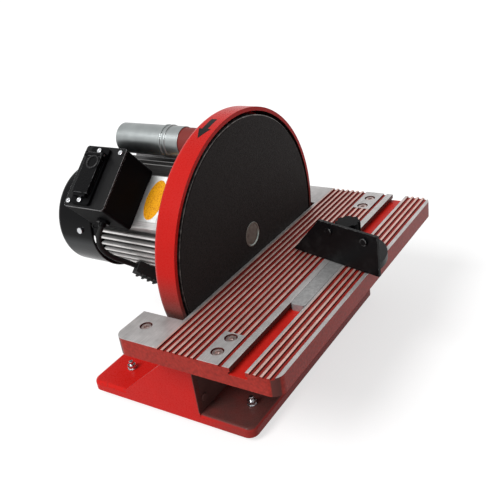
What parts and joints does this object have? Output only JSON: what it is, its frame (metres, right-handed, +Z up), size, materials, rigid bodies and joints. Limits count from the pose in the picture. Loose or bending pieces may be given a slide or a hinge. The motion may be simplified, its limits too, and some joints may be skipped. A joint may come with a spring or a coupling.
{
  "type": "benchtop disc sander",
  "caption": "Red benchtop disc sander with a black abrasive disc, a tilting ribbed table, a swinging mitre gauge, a finned motor with a stop flap switch and a dust tube.",
  "frame": {"origin": "middle of the machine's outline on the bench, under the feet", "axes": "+X along the table, +Y from the abrasive face towards the motor, +Z up"},
  "size_m": [0.442, 0.4604, 0.342],
  "materials": {
    "red_paint": "gloss enamel",
    "black_paint": "gloss enamel",
    "black_plastic": "satin moulded",
    "rubber": "matte",
    "bright_steel": "bright zinc",
    "zinc_tube": "bright rolled",
    "alloy": "cast and machined",
    "iron": "dark machined",
    "copper": "enamelled winding",
    "label_alloy": "satin sheet",
    "abrasive": "coarse grit",
    "start_green": "moulded",
    "stop_red": "moulded"
  },
  "bodies": {
    "machine": {"base": "red_paint", "rubber_feet": "rubber", "foot_studs": "bright_steel", "foot_nuts": "bright_steel", "disc_housing": "red_paint", "housing_bolts": "bright_steel", "lower_guard": "red_paint", "lower_guard_screws": "bright_steel", "dust_tube": "zinc_tube", "motor_flange": "iron", "flange_bolts": "bright_steel", "stator_housing": "alloy", "stator_core": "iron", "windings": "copper", "rear_shield": "black_paint", "tie_rods": "bright_steel", "front_bearing": "bright_steel", "rear_bearing": "bright_steel", "fan_cover": "black_paint", "fan_cover_screws": "bright_steel", "rating_plate": "label_alloy", "switch_box": "black_paint", "switch_cover": "black_paint", "switch_cover_screws": "bright_steel", "switch_block": "black_plastic", "switch_block_screws": "bright_steel", "flap_pin": "bright_steel", "box_gland": "black_plastic", "inlet_gland": "black_plastic", "lead_clamp": "black_plastic", "motor_lead": "rubber", "guide_pins": "bright_steel"},
    "spindle": {"motor_shaft": "bright_steel", "shaft_key": "bright_steel", "rotor_core": "iron", "cooling_fan": "black_plastic", "disc_plate": "alloy", "abrasive_disc": "abrasive", "centre_cap": "bright_steel"},
    "table_set": {"table": "red_paint", "trunnions": "iron", "table_screws": "bright_steel"},
    "mitre_slider": {"mitre_bar": "bright_steel", "mitre_pivot": "bright_steel"},
    "mitre_gauge": {"mitre_head": "black_paint", "fence": "black_paint", "fence_screws": "bright_steel"},
    "mitre_clamp": {"mitre_knob": "black_plastic"},
    "tilt_lock": {"tilt_lock_knob": "black_plastic"},
    "flap": {"stop_flap": "black_plastic"},
    "start": {"start_button": "start_green"},
    "stop": {"stop_button": "stop_red"}
  },
  "joints": [
    {"name": "disc_spin", "type": "hinge", "parent": "machine", "child": "spindle", "pos_m": [0, -0.0538, 0.18], "axis": [0, -1, 0], "continuous": true},
    {"name": "table_tilt", "type": "hinge", "parent": "machine", "child": "table_set", "pos_m": [0, -0.0538, 0.1515], "axis": [1, 0, 0], "range_deg": [0, 45]},
    {"name": "mitre_slide", "type": "slide", "parent": "table_set", "child": "mitre_slider", "axis": [1, 0, 0], "range_m": [-0.15, 0.1]},
    {"name": "mitre_swing", "type": "hinge", "parent": "mitre_slider", "child": "mitre_gauge", "pos_m": [0.021, -0.1648, 0.1515], "axis": [0, 0, 1], "range_deg": [-40, 65]},
    {"name": "mitre_clamp_turn", "type": "hinge", "parent": "mitre_slider", "child": "mitre_clamp", "pos_m": [0.05, -0.1648, 0.1515], "axis": [0, 0, 1], "range_deg": [-180, 180]},
    {"name": "tilt_lock_turn", "type": "hinge", "parent": "machine", "child": "tilt_lock", "pos_m": [0.19, -0.05066, 0.11564], "axis": [1, 0, 0], "range_deg": [-180, 180]},
    {"name": "flap_open", "type": "hinge", "parent": "machine", "child": "flap", "pos_m": [-0.0681, 0.1232, 0.30168], "axis": [0, 1, 0], "range_deg": [0, 100]},
    {"name": "start_press", "type": "slide", "parent": "machine", "child": "start", "axis": [-0.6481, 0, 0.7615], "range_m": [-0.0025, 0], "stiffness_N_per_m": 300},
    {"name": "stop_press", "type": "slide", "parent": "machine", "child": "stop", "axis": [-0.6481, 0, 0.7615], "range_m": [-0.0025, 0], "stiffness_N_per_m": 300}
  ]
}
